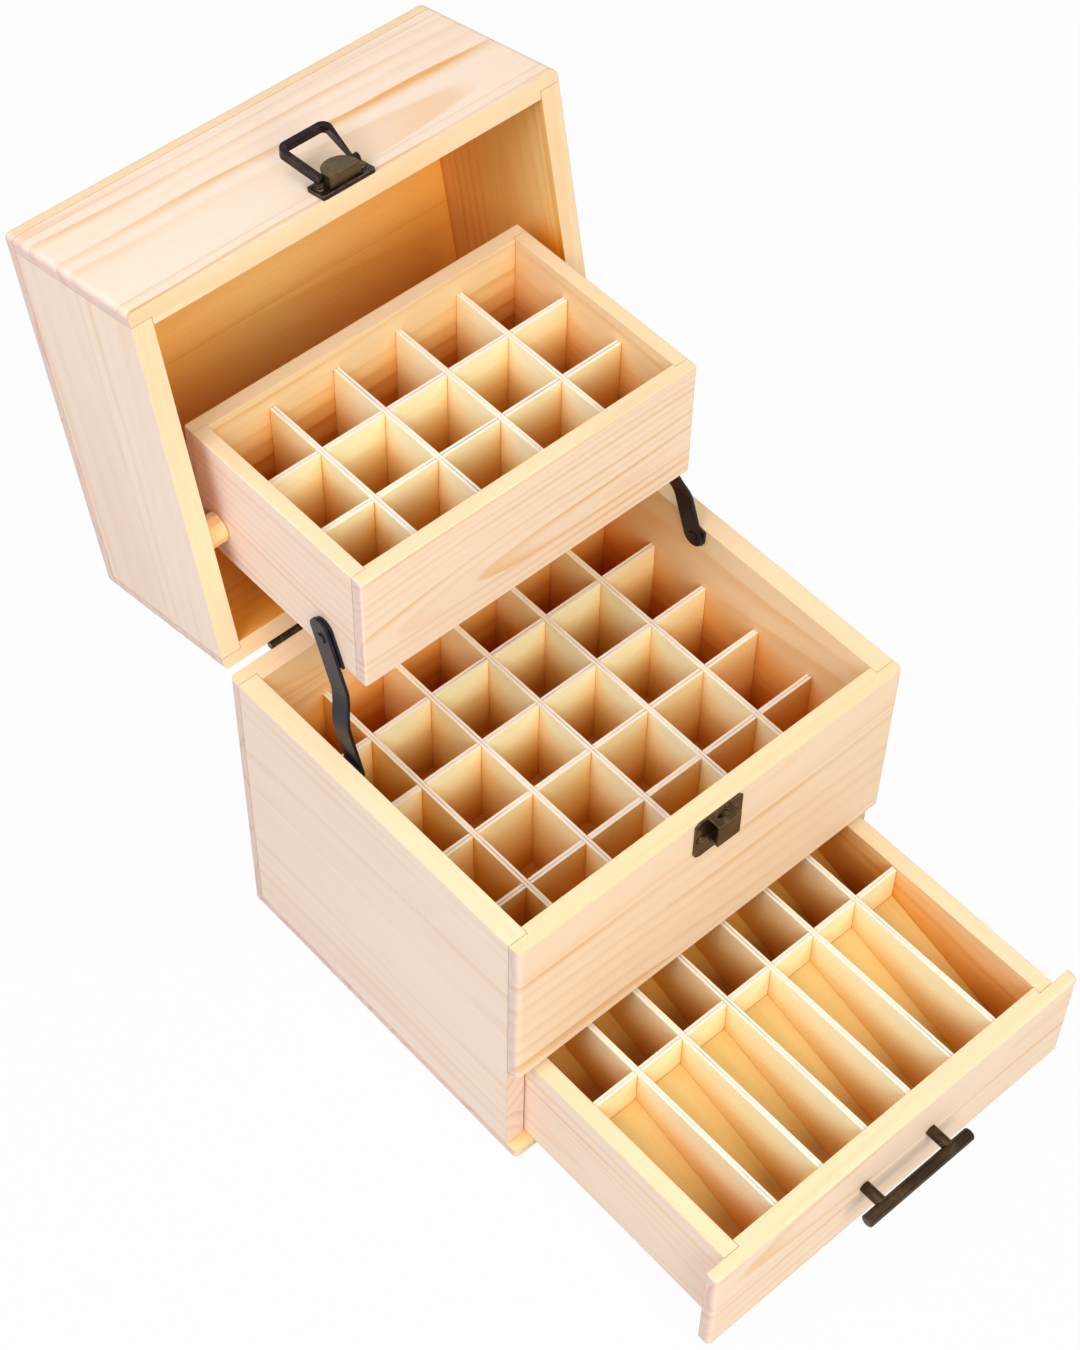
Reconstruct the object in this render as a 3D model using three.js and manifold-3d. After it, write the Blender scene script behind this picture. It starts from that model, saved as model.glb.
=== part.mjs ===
// Essential oil storage box: a base with square cells over a drawer, and a deep lid.
// A divided tray hangs in the lid on two dowels, and two steel arms keep it level.
// Millimetres. X points right seen from the front, Y to the back and Z up.
// The origin is the middle of the base's underside. Lid, tray and drawer are shown open.

import * as THREE from 'three';
import { mergeVertices } from 'three/addons/utils/BufferGeometryUtils.js';
import Module from 'manifold-3d';

const wasm = await Module();
wasm.setup();

// Clearances
const glueGap = 0.2;
const runningGap = 0.3;
const drawerGap = 0.6;
const rimGap = 0.5;
const overrun = 5;

// Steps of round shapes
const curveSegments = 6;
const bevelSegments = 3;

// Base
const cell = 33;
const dividerThickness = 3;
const baseColumns = 6;
const baseRows = 5;
const panelThickness = 10.5;
const lapLip = 6.5;
const baseHeight = 179;
const bottomBoardThickness = 7;
const middleFloorTop = 85;
const middleFloorThickness = 5;
const baseDividerRecess = 39.5;
const baseFrontBottom = 75;
const cornerRadius = 3;
const edgeRadius = 2;

// Lid and its hinges
const lidHeight = 94;
const topBoardThickness = 7;
const lidOpenAngle = THREE.MathUtils.degToRad(102);
const hingeSetback = 2;
const hingeSpacing = 166;
const hingeLength = 18;
const hingeLeafHeight = 14;
const hingeLeafThickness = 1;
const hingeBarrelRadius = 1.8;
const hingePinRadius = 0.8;

// Tray in the lid
const trayColumns = 5;
const trayRows = 3;
const trayWallThickness = 7.5;
const trayCornerRadius = 1.2;
const trayEdgeRadius = 0.8;
const trayLip = 6;
const trayHeight = 68.5;
const trayFloorThickness = 4;
const trayDividerRecess = 12;
const trayPivotFromBack = 19.1;
const trayPivotHeight = 19;

// Parallelogram that carries the tray: the lid's link leans back, and each arm copies it
const linkBack = 24.5;
const linkUp = 65.5;
const armAhead = 75.5;
const armBelow = 6;
const dowelRadius = 7.6;
const pivotScrewRadius = 2.5;
const pivotHeadRadius = 4.5;
const pivotHeadThickness = 2.5;
const armWidth = 11.5;
const armThickness = 1.6;
const armTopOverhang = 10.5;
const armCrankStart = 22;
const armCrankLength = 20;
const armCrankSteps = 8;
const armPlateThickness = 1.5;
const armPlateWidth = 11.5;
const armPlateDrop = 7;
const armPlateRimDrop = 1;
const rivetRadius = 1.8;
const rivetHeadRadius = 2.7;
const rivetHeadThickness = 0.7;

// Drawer
const drawerTravel = 130;
const drawerTop = 71;
const drawerLength = 184.5;
const drawerSideThickness = 8.5;
const drawerBottomThickness = 4;
const drawerColumns = 7;
const drawerFrontRowLength = 87.7;
const drawerDividerRecess = 1;
const drawerRampThickness = 3;
const drawerRampLow = 11.4;
const drawerRampRise = 29.7;
const drawerEdgeRadius = 1.5;
const pullLength = 68;
const pullBarRadius = 3.4;
const pullEndRadius = 0.8;
const pullPostRadius = 3;
const pullPostSpacing = 43.5;
const pullStandoff = 13.5;
const pullRise = 1.7;

// Draw latch: the plate, lever and bail are on the lid, and the catch is on the base
const latchRimDrop = 0.2;
const latchPlateWidth = 28.5;
const latchPlateHeight = 12;
const latchPlateThickness = 2.2;
const latchPlateRadius = 1;
const leverWidth = 16.4;
const leverRimDistance = 2.2;
const leverHeight = 11.8;
const leverStandoff = 8.2;
const bailRimDistance = 7.8;
const bailStandoff = 6.2;
const bailReach = 25;
const bailWidth = 27.2;
const bailPivotWidth = 22.8;
const bailStrapThickness = 2.6;
const bailStrapDepth = 4.4;
const bailCornerRadius = 4.5;
const bailPinRadius = 1;
const bailPinReach = 2;
const bailRestAngle = THREE.MathUtils.degToRad(15);
const catchRimDrop = 0.5;
const catchPlateWidth = 29;
const catchPlateHeight = 26.5;
const catchPlateThickness = 1;
const catchPlateRadius = 5;
const catchPlateChamfer = 2;
const hookWidth = 13.5;
const hookDepth = 7.8;
const hookHeight = 14.6;
const hookRimDistance = 1.6;
const hookWall = 1.2;
const hookSlotLength = 7.4;
const hookSlotWidth = 3;
const hookSlotStandoff = 3;

// Sizes and places worked out from the values above
const span = (count, size) => count * size + (count - 1) * dividerThickness;
const baseInsideWidth = span(baseColumns, cell);
const baseInsideDepth = span(baseRows, cell);
const boxWidth = baseInsideWidth + 2 * panelThickness;
const boxDepth = baseInsideDepth + 2 * panelThickness;
const baseFront = -boxDepth / 2;
const boxFrame = {
  width: boxWidth,
  insideWidth: baseInsideWidth,
  front: baseFront,
  back: -baseFront,
  wall: panelThickness,
  lip: lapLip,
  corner: cornerRadius,
};
const baseDividerTop = baseHeight - baseDividerRecess;

const lidBottom = baseHeight + rimGap;
const lidTop = lidBottom + lidHeight;
const hingeY = boxDepth / 2 + hingeSetback;
const hingeZ = baseHeight + rimGap / 2;

const trayInsideWidth = span(trayColumns, cell);
const trayInsideDepth = span(trayRows, cell);
const trayWidth = trayInsideWidth + 2 * trayWallThickness;
const trayDepth = trayInsideDepth + 2 * trayWallThickness;
const trayFrame = {
  width: trayWidth,
  insideWidth: trayInsideWidth,
  front: -trayDepth / 2,
  back: trayDepth / 2,
  wall: trayWallThickness,
  lip: trayLip,
  corner: trayCornerRadius,
};
const trayPivotY = hingeY + linkBack;
const trayPivotZ = hingeZ + linkUp;
const trayCentreY = trayPivotY + trayPivotFromBack - trayDepth / 2;
const trayBottom = trayPivotZ - trayPivotHeight;
const armPivotY = hingeY - armAhead;
const armPivotZ = hingeZ - armBelow;
const armLength = Math.hypot(linkBack, linkUp);
const armLean = Math.atan2(linkBack, linkUp);

const drawerBottom = bottomBoardThickness + drawerGap;
const drawerFront = baseFront - drawerTravel;
const drawerBack = drawerFront + drawerLength;
const drawerOutsideHalf = baseInsideWidth / 2 - drawerGap;
const drawerInsideHalf = drawerOutsideHalf - drawerSideThickness;
const drawerInsideFront = drawerFront + panelThickness;
const drawerInsideBack = drawerBack - drawerSideThickness;
const drawerCrossFront = drawerInsideFront + drawerFrontRowLength;
const drawerCrossBack = drawerCrossFront + dividerThickness;
const drawerDividerTop = drawerTop - drawerDividerRecess;
const drawerSlope = drawerRampRise / drawerFrontRowLength;
const pullHeight = (drawerBottom + drawerTop) / 2 + pullRise;
const drawerLapHeight = (drawerBottom + drawerRampLow + drawerRampRise + drawerDividerTop) / 2;
const drawerFrame = {
  width: boxWidth,
  insideWidth: 2 * drawerInsideHalf,
  front: drawerFront,
  back: drawerBack,
  wall: panelThickness,
  lip: lapLip,
  corner: cornerRadius,
};

// Finishes
const pine = { color: 0xf6dcae, roughness: 0.6, metalness: 0 };
const dividerWood = { color: 0xf8e2bd, roughness: 0.65, metalness: 0 };
const bronze = { color: 0x5a3e22, roughness: 0.4, metalness: 0.8 };
const brass = { color: 0xb08a4a, roughness: 0.35, metalness: 0.9 };
const blackSteel = { color: 0x1c2024, roughness: 0.45, metalness: 0.7 };

// Plain solids

// A block between two places along each axis.
function block([left, right], [front, back], [low, high]) {
  const geometry = new THREE.BoxGeometry(right - left, back - front, high - low);
  geometry.translate((left + right) / 2, (front + back) / 2, (low + high) / 2);
  return geometry;
}

const along = {
  x: new THREE.Vector3(1, 0, 0),
  y: new THREE.Vector3(0, 1, 0),
  z: new THREE.Vector3(0, 0, 1),
};

// Turns an outline's plane so that it faces the axis. It is drawn in (y, z) for x, (x, z) for y
// and (x, y) for z, and for y it runs backwards from its far end.
const outlineBasis = {
  x: new THREE.Matrix4().makeBasis(along.y, along.z, along.x),
  y: new THREE.Matrix4().makeBasis(along.x, along.z, along.y.clone().negate()),
  z: new THREE.Matrix4(),
};

// A solid with the same outline from one place to another along an axis.
function prism(shape, axis, [from, to]) {
  const geometry = new THREE.ExtrudeGeometry(shape, {
    depth: to - from,
    bevelEnabled: false,
    curveSegments,
  });
  geometry.applyMatrix4(outlineBasis[axis]);
  const start = along[axis].clone().multiplyScalar(axis === 'y' ? to : from);
  geometry.translate(start.x, start.y, start.z);
  return geometry;
}

// A round rod along an axis, centred on a point of the outline's plane.
function rod(radius, axis, range, [across, up]) {
  const circle = new THREE.Shape();
  circle.absarc(across, up, radius, 0, Math.PI * 2);
  return prism(circle, axis, range);
}

// A rod along X with round edges at both ends.
function easedRod(radius, [from, to], [across, up], endRadius) {
  const circle = new THREE.Shape();
  circle.absarc(across, up, radius, 0, Math.PI * 2);
  const geometry = new THREE.ExtrudeGeometry(circle, {
    depth: to - from - 2 * endRadius,
    bevelThickness: endRadius,
    bevelSize: endRadius,
    bevelOffset: -endRadius,
    bevelSegments,
    curveSegments,
  });
  geometry.translate(0, 0, endRadius);
  geometry.applyMatrix4(outlineBasis.x);
  geometry.translate(from, 0, 0);
  return geometry;
}

function outline(points) {
  return new THREE.Shape(points.map(([across, up]) => new THREE.Vector2(across, up)));
}

function roundedRectangle(width, depth, radius) {
  const right = width / 2;
  const back = depth / 2;
  const quarter = Math.PI / 2;
  const shape = new THREE.Shape();
  shape.absarc(right - radius, back - radius, radius, 0, quarter);
  shape.absarc(radius - right, back - radius, radius, quarter, Math.PI);
  shape.absarc(radius - right, radius - back, radius, Math.PI, -quarter);
  shape.absarc(right - radius, radius - back, radius, -quarter, 0);
  return shape;
}

// A block as wide as a frame, with round upright corners and round edges at both ends.
function easedBlock(frame, [low, high], radius) {
  const depth = frame.back - frame.front;
  const geometry = new THREE.ExtrudeGeometry(roundedRectangle(frame.width, depth, frame.corner), {
    depth: high - low - 2 * radius,
    bevelThickness: radius,
    bevelSize: radius,
    bevelOffset: -radius,
    bevelSegments,
    curveSegments,
  });
  geometry.translate(0, (frame.front + frame.back) / 2, low + radius);
  return geometry;
}

// Cutting and joining

function toSolid(geometry) {
  const bare = geometry.clone();
  bare.deleteAttribute('normal');
  bare.deleteAttribute('uv');
  const merged = mergeVertices(bare);
  const mesh = new wasm.Mesh({
    numProp: 3,
    vertProperties: merged.attributes.position.array,
    triVerts: Uint32Array.from(merged.index.array),
  });
  return new wasm.Manifold(mesh);
}

function toGeometry(solid) {
  const { vertProperties, triVerts } = solid.getMesh();
  const geometry = new THREE.BufferGeometry();
  geometry.setAttribute('position', new THREE.BufferAttribute(vertProperties, 3));
  geometry.setIndex(new THREE.BufferAttribute(triVerts, 1));
  geometry.computeVertexNormals();
  return geometry;
}

function join(first, ...others) {
  return toGeometry(others.reduce((solid, other) => solid.add(toSolid(other)), toSolid(first)));
}

function cut(first, ...others) {
  return toGeometry(others.reduce((solid, other) => solid.subtract(toSolid(other)), toSolid(first)));
}

function common(first, second) {
  return toGeometry(toSolid(first).intersect(toSolid(second)));
}

// Boards

// A front (side -1) or back (side 1) board of a frame. It laps over the ends of the side boards,
// which reach into its rabbets. Its outer faces stand proud, for easing to the frame's outside.
function lappedBoard(frame, side, range) {
  const face = side < 0 ? frame.front : frame.back;
  const outer = face + side * overrun;
  const rabbet = face - side * frame.lip;
  const inner = face - side * frame.wall;
  const end = frame.width / 2 + overrun;
  const innerEnd = frame.insideWidth / 2 - glueGap;
  const points = [
    [-end, outer],
    [end, outer],
    [end, rabbet],
    [innerEnd, rabbet],
    [innerEnd, inner],
    [-innerEnd, inner],
    [-innerEnd, rabbet],
    [-end, rabbet],
  ];
  return prism(outline(points), 'z', range);
}

// A left (side -1) or right (side 1) board of a frame, proud on its outer face.
function sideBoard(frame, side, range) {
  const inner = frame.insideWidth / 2;
  const outer = frame.width / 2 + overrun;
  const across = side < 0 ? [-outer, -inner] : [inner, outer];
  const ends = [frame.front + frame.lip + glueGap, frame.back - frame.lip - glueGap];
  return block(across, ends, range);
}

// A divider's outline from end to end, with a notch half its height deep at each crossing.
function notchedOutline(halfLength, [low, high], crossings, notchAtTop) {
  const notchedEdge = notchAtTop ? high : low;
  const plainEdge = notchAtTop ? low : high;
  const middle = (low + high) / 2;
  const notchEnd = middle + (notchAtTop ? -glueGap / 2 : glueGap / 2);
  const notchHalf = dividerThickness / 2 + glueGap;
  const notches = crossings.flatMap((place) => [
    [place - notchHalf, notchedEdge],
    [place - notchHalf, notchEnd],
    [place + notchHalf, notchEnd],
    [place + notchHalf, notchedEdge],
  ]);
  return outline([
    [-halfLength, notchedEdge],
    ...notches,
    [halfLength, notchedEdge],
    [halfLength, plainEdge],
    [-halfLength, plainEdge],
  ]);
}

// The middles of the dividers that part a length into cells of one size.
function dividerPlaces(count, size) {
  const start = -span(count, size) / 2 - dividerThickness / 2;
  const places = [];
  for (let index = 1; index < count; index += 1) {
    places.push(start + index * (size + dividerThickness));
  }
  return places;
}

const slab = (middle) => [middle - dividerThickness / 2, middle + dividerThickness / 2];

// The model

const box = new THREE.Group();

// The lid and all it carries are placed as in the closed box, inside a group that turns on the hinges.
const lidTurn = new THREE.Group();
lidTurn.position.set(0, hingeY, hingeZ);
lidTurn.rotation.x = -lidOpenAngle;
const lid = new THREE.Group();
lid.position.set(0, -hingeY, -hingeZ);
lidTurn.add(lid);
box.add(lidTurn);

const tray = new THREE.Group();
tray.position.set(0, trayCentreY, trayBottom);
box.add(tray);

function addPiece(group, name, geometry, finish) {
  const mesh = new THREE.Mesh(geometry, new THREE.MeshStandardMaterial(finish));
  mesh.name = name;
  group.add(mesh);
}

// Half-lapped square cells: deep dividers run front to back, and wide ones side to side.
function addDividerGrid(group, prefix, columns, rows, range) {
  const acrossPlaces = dividerPlaces(columns, cell);
  const deepPlaces = dividerPlaces(rows, cell);
  const halfWidth = span(columns, cell) / 2 - glueGap;
  const halfDepth = span(rows, cell) / 2 - glueGap;
  acrossPlaces.forEach((place, index) => {
    const shape = notchedOutline(halfDepth, range, deepPlaces, false);
    addPiece(group, `${prefix}_divider_deep_${index + 1}`, prism(shape, 'x', slab(place)), dividerWood);
  });
  deepPlaces.forEach((place, index) => {
    const shape = notchedOutline(halfWidth, range, acrossPlaces, true);
    addPiece(group, `${prefix}_divider_wide_${index + 1}`, prism(shape, 'y', slab(place)), dividerWood);
  });
}

const proudHalfWidth = boxWidth / 2 + overrun;
const proudHalfDepth = boxDepth / 2 + overrun;
const proudWidth = [-proudHalfWidth, proudHalfWidth];
const proudDepth = [-proudHalfDepth, proudHalfDepth];

function addBaseBoards() {
  const outside = easedBlock(boxFrame, [0, baseHeight + overrun], edgeRadius);
  const upright = [bottomBoardThickness + glueGap, baseHeight];
  const boards = {
    base_bottom_board: block(proudWidth, proudDepth, [-overrun, bottomBoardThickness]),
    base_front_panel: lappedBoard(boxFrame, -1, [baseFrontBottom, baseHeight]),
    base_back_panel: lappedBoard(boxFrame, 1, upright),
    base_left_panel: sideBoard(boxFrame, -1, upright),
    base_right_panel: sideBoard(boxFrame, 1, upright),
  };
  for (const [name, blank] of Object.entries(boards)) {
    addPiece(box, name, common(blank, outside), pine);
  }
  const floorHalfWidth = baseInsideWidth / 2 - glueGap;
  const floorHalfDepth = baseInsideDepth / 2 - glueGap;
  const floor = block(
    [-floorHalfWidth, floorHalfWidth],
    [-floorHalfDepth, floorHalfDepth],
    [middleFloorTop - middleFloorThickness, middleFloorTop],
  );
  addPiece(box, 'base_middle_floor', floor, pine);
  addDividerGrid(box, 'base', baseColumns, baseRows, [middleFloorTop + glueGap, baseDividerTop]);
}

function addLidBoards() {
  const outside = easedBlock(boxFrame, [lidBottom - overrun, lidTop], edgeRadius);
  const boardBottom = lidTop - topBoardThickness;
  const upright = [lidBottom, boardBottom - glueGap];
  const boards = {
    lid_top_board: block(proudWidth, proudDepth, [boardBottom, lidTop + overrun]),
    lid_front_panel: lappedBoard(boxFrame, -1, upright),
    lid_back_panel: lappedBoard(boxFrame, 1, upright),
    lid_left_panel: sideBoard(boxFrame, -1, upright),
    lid_right_panel: sideBoard(boxFrame, 1, upright),
  };
  for (const [name, blank] of Object.entries(boards)) {
    addPiece(lid, name, common(blank, outside), pine);
  }
}

// A butt hinge's leaf. The base leaf (side -1) holds the pin in its two outer knuckles, and the lid
// leaf (side 1) turns on it with the middle one.
function hingeLeaf(side, middle) {
  const end = hingeLength / 2;
  const knuckle = hingeLength / 6;
  const ranges = {
    left: [middle - end, middle - knuckle - runningGap / 2],
    centre: [middle - knuckle + runningGap / 2, middle + knuckle - runningGap / 2],
    right: [middle + knuckle + runningGap / 2, middle + end],
  };
  const whole = [middle - end, middle + end];
  const plateFace = boxDepth / 2 + glueGap;
  const plateHeights = side < 0 ? [hingeZ - hingeLeafHeight, hingeZ] : [hingeZ, hingeZ + hingeLeafHeight];
  const plate = block(whole, [plateFace, plateFace + hingeLeafThickness], plateHeights);
  const axis = [hingeY, hingeZ];
  const wider = ([left, right]) => [left - runningGap, right + runningGap];
  const knuckleRod = (range) => rod(hingeBarrelRadius, 'x', range, axis);
  const room = (range) => rod(hingeBarrelRadius + runningGap, 'x', wider(range), axis);
  if (side < 0) {
    const relieved = cut(plate, room(ranges.centre));
    const pin = rod(hingePinRadius, 'x', whole, axis);
    return join(relieved, knuckleRod(ranges.left), knuckleRod(ranges.right), pin);
  }
  const relieved = cut(plate, room(ranges.left), room(ranges.right));
  const pinHole = rod(hingePinRadius + runningGap, 'x', whole, axis);
  return cut(join(relieved, knuckleRod(ranges.centre)), pinHole);
}

function addHinges() {
  for (const [sideName, side] of [['left', -1], ['right', 1]]) {
    const middle = side * hingeSpacing / 2;
    addPiece(box, `hinge_base_leaf_${sideName}`, hingeLeaf(-1, middle), brass);
    addPiece(lid, `hinge_lid_leaf_${sideName}`, hingeLeaf(1, middle), brass);
  }
}

function addTray() {
  const outside = easedBlock(trayFrame, [0, trayHeight], trayEdgeRadius);
  const upright = [0, trayHeight];
  const pivotPlace = [trayDepth / 2 - trayPivotFromBack, trayPivotHeight];
  const holeRange = [-trayWidth / 2 - overrun, trayWidth / 2 + overrun];
  const pivotHole = rod(pivotScrewRadius + runningGap, 'x', holeRange, pivotPlace);
  const boards = {
    tray_front_wall: lappedBoard(trayFrame, -1, upright),
    tray_back_wall: lappedBoard(trayFrame, 1, upright),
    tray_left_wall: cut(sideBoard(trayFrame, -1, upright), pivotHole),
    tray_right_wall: cut(sideBoard(trayFrame, 1, upright), pivotHole),
  };
  for (const [name, blank] of Object.entries(boards)) {
    addPiece(tray, name, common(blank, outside), pine);
  }
  const floorHalfWidth = trayInsideWidth / 2 - glueGap;
  const floorHalfDepth = trayInsideDepth / 2 - glueGap;
  const floor = block(
    [-floorHalfWidth, floorHalfWidth],
    [-floorHalfDepth, floorHalfDepth],
    [0, trayFloorThickness],
  );
  addPiece(tray, 'tray_floor', floor, pine);
  const dividerRange = [trayFloorThickness + glueGap, trayHeight - trayDividerRecess];
  addDividerGrid(tray, 'tray', trayColumns, trayRows, dividerRange);
}

// A wooden dowel glued to the lid's side, with the screw on which the tray turns.
function trayPivot(side) {
  const place = [trayPivotY, trayPivotZ];
  const outwards = (near, far) => (side < 0 ? [-far, -near] : [near, far]);
  const dowelEnd = baseInsideWidth / 2 - glueGap;
  const dowelStart = trayWidth / 2 + runningGap;
  const headOuter = trayInsideWidth / 2 - runningGap;
  const headInner = headOuter - pivotHeadThickness;
  const dowel = rod(dowelRadius, 'x', outwards(dowelStart, dowelEnd), place);
  const screw = rod(pivotScrewRadius, 'x', outwards(headInner, dowelEnd), place);
  const head = rod(pivotHeadRadius, 'x', outwards(headInner, headOuter), place);
  return join(dowel, screw, head);
}

// A flat steel arm at its lower pivot, upright along Z. It is bent outwards in a gentle crank towards
// its lower end, where it lies against the base's plate, and its rivets are part of it.
function trayArm(side) {
  const upperInner = trayWidth / 2 + glueGap + armPlateThickness + runningGap;
  const upperOuter = upperInner + armThickness;
  const lowerOuter = baseInsideWidth / 2 - glueGap - armPlateThickness - runningGap;
  const lowerInner = lowerOuter - armThickness;
  const half = armWidth / 2;
  const top = armLength + armTopOverhang;
  const inner = [[side * lowerInner, -half]];
  const outer = [[side * lowerOuter, -half]];
  for (let step = 0; step <= armCrankSteps; step += 1) {
    const share = THREE.MathUtils.smoothstep(step / armCrankSteps, 0, 1);
    const height = armCrankStart + (armCrankLength * step) / armCrankSteps;
    inner.push([side * THREE.MathUtils.lerp(lowerInner, upperInner, share), height]);
    outer.push([side * THREE.MathUtils.lerp(lowerOuter, upperOuter, share), height]);
  }
  inner.push([side * upperInner, top]);
  outer.push([side * upperOuter, top]);
  const strip = outline([...outer, ...inner.reverse()]);
  const face = new THREE.Shape();
  face.absarc(0, top - half, half, 0, Math.PI);
  face.absarc(0, 0, half, Math.PI, Math.PI * 2);
  const outwards = (near, far) => (side < 0 ? [-far, -near] : [near, far]);
  const faceRange = outwards(upperInner - overrun, lowerOuter + overrun);
  const body = common(prism(strip, 'y', [-half, half]), prism(face, 'x', faceRange));
  const lowerPin = outwards(lowerInner, baseInsideWidth / 2 - glueGap - runningGap);
  const lowerHead = outwards(lowerInner - rivetHeadThickness, lowerInner);
  const upperPin = outwards(trayWidth / 2 + runningGap, upperOuter);
  const upperHead = outwards(upperOuter, upperOuter + rivetHeadThickness);
  return join(
    body,
    rod(rivetRadius, 'x', lowerPin, [0, 0]),
    rod(rivetHeadRadius, 'x', lowerHead, [0, 0]),
    rod(rivetRadius, 'x', upperPin, [0, armLength]),
    rod(rivetHeadRadius, 'x', upperHead, [0, armLength]),
  );
}

// The plate on the base's side that holds an arm's lower rivet.
function armBasePlate(side) {
  const outer = baseInsideWidth / 2 - glueGap;
  const inner = outer - armPlateThickness;
  const half = armPlateWidth / 2;
  const top = baseHeight - armPlateRimDrop;
  const shape = new THREE.Shape();
  shape.moveTo(armPivotY + half, top);
  shape.lineTo(armPivotY - half, top);
  shape.absarc(armPivotY, armPivotZ - armPlateDrop + half, half, Math.PI, Math.PI * 2);
  const range = side < 0 ? [-outer, -inner] : [inner, outer];
  const hole = rod(rivetRadius + runningGap, 'x', range, [armPivotY, armPivotZ]);
  return cut(prism(shape, 'x', range), hole);
}

function addTrayLinks() {
  for (const [sideName, side] of [['left', -1], ['right', 1]]) {
    addPiece(box, `tray_pivot_${sideName}`, trayPivot(side), pine);
    addPiece(box, `arm_base_plate_${sideName}`, armBasePlate(side), blackSteel);
    const arm = new THREE.Group();
    arm.position.set(0, armPivotY, armPivotZ);
    arm.rotation.x = -armLean;
    box.add(arm);
    addPiece(arm, `tray_arm_${sideName}`, trayArm(side), blackSteel);
  }
}

// Sloped boards on which bottles lie, lower at their front end.
function drawerRamp(front, back) {
  const low = drawerBottom + drawerRampLow;
  const high = low + (back - front) * drawerSlope;
  const shape = outline([
    [front, low - drawerRampThickness],
    [back, high - drawerRampThickness],
    [back, high],
    [front, low],
  ]);
  const half = drawerInsideHalf - glueGap;
  return prism(shape, 'x', [-half, half]);
}

// A divider that runs front to back over both rows, with its lower edge on the ramps.
function drawerDeepDivider(place) {
  const rowLow = drawerBottom + drawerRampLow + glueGap;
  const frontRowHigh = rowLow + (drawerCrossFront - drawerInsideFront) * drawerSlope;
  const backRowHigh = rowLow + (drawerInsideBack - drawerCrossBack) * drawerSlope;
  const notchTop = drawerLapHeight + glueGap / 2;
  const front = drawerInsideFront + glueGap;
  const back = drawerInsideBack - glueGap;
  const shape = outline([
    [front, drawerDividerTop],
    [front, rowLow],
    [drawerCrossFront - glueGap, frontRowHigh],
    [drawerCrossFront - glueGap, notchTop],
    [drawerCrossBack + glueGap, notchTop],
    [drawerCrossBack + glueGap, rowLow],
    [back, backRowHigh],
    [back, drawerDividerTop],
  ]);
  return prism(shape, 'x', slab(place));
}

// The divider between the two rows, notched from above where the deep dividers cross it.
function drawerWideDivider(places) {
  const half = drawerInsideHalf - glueGap;
  const low = drawerBottom + drawerBottomThickness + glueGap;
  const notchEnd = drawerLapHeight - glueGap / 2;
  const notchHalf = dividerThickness / 2 + glueGap;
  const notches = places.flatMap((place) => [
    [place - notchHalf, drawerDividerTop],
    [place - notchHalf, notchEnd],
    [place + notchHalf, notchEnd],
    [place + notchHalf, drawerDividerTop],
  ]);
  const shape = outline([
    [-half, drawerDividerTop],
    ...notches,
    [half, drawerDividerTop],
    [half, low],
    [-half, low],
  ]);
  return prism(shape, 'y', [drawerCrossFront, drawerCrossBack]);
}

function addDrawer() {
  const upright = [drawerBottom, drawerTop];
  const front = common(
    lappedBoard(drawerFrame, -1, [drawerBottom - overrun, drawerTop + overrun]),
    easedBlock(drawerFrame, upright, drawerEdgeRadius),
  );
  const insideHalf = drawerInsideHalf - glueGap;
  const insideWidth = [-insideHalf, insideHalf];
  const sideDepth = [drawerFront + lapLip + glueGap, drawerBack];
  const floorDepth = [drawerInsideFront + glueGap, drawerInsideBack - glueGap];
  const floorHeights = [drawerBottom, drawerBottom + drawerBottomThickness];
  const cellWidth = (2 * drawerInsideHalf - (drawerColumns - 1) * dividerThickness) / drawerColumns;
  const places = dividerPlaces(drawerColumns, cellWidth);
  const frontRamp = drawerRamp(drawerInsideFront + glueGap, drawerCrossFront - glueGap);
  const backRamp = drawerRamp(drawerCrossBack + glueGap, drawerInsideBack - glueGap);
  addPiece(box, 'drawer_front_panel', front, pine);
  addPiece(box, 'drawer_back_wall', block(insideWidth, [drawerInsideBack, drawerBack], upright), pine);
  addPiece(box, 'drawer_left_wall', block([-drawerOutsideHalf, -drawerInsideHalf], sideDepth, upright), pine);
  addPiece(box, 'drawer_right_wall', block([drawerInsideHalf, drawerOutsideHalf], sideDepth, upright), pine);
  addPiece(box, 'drawer_bottom', block(insideWidth, floorDepth, floorHeights), pine);
  addPiece(box, 'drawer_front_ramp', frontRamp, dividerWood);
  addPiece(box, 'drawer_back_ramp', backRamp, dividerWood);
  addPiece(box, 'drawer_divider_wide', drawerWideDivider(places), dividerWood);
  places.forEach((place, index) => {
    addPiece(box, `drawer_divider_deep_${index + 1}`, drawerDeepDivider(place), dividerWood);
  });
}

// A round bar on two posts, just above the middle of the drawer's front.
function addPull() {
  const barY = drawerFront - pullStandoff;
  const half = pullLength / 2;
  const postRange = [barY, drawerFront - glueGap];
  const post = (side) => {
    const place = [side * pullPostSpacing / 2, pullHeight];
    return rod(pullPostRadius, 'y', postRange, place);
  };
  const bar = easedRod(pullBarRadius, [-half, half], [barY, pullHeight], pullEndRadius);
  addPiece(box, 'drawer_pull', join(bar, post(-1), post(1)), bronze);
}

// Latch pieces stand out from the front face, so a standoff is a distance forwards of it.
const outFrom = (near, far) => [baseFront - far, baseFront - near];

function latchPlate() {
  const low = lidBottom + latchRimDrop;
  const shape = roundedRectangle(latchPlateWidth, latchPlateHeight, latchPlateRadius);
  const plate = prism(shape, 'y', outFrom(glueGap, latchPlateThickness));
  plate.translate(0, 0, low + latchPlateHeight / 2);
  return plate;
}

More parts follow.
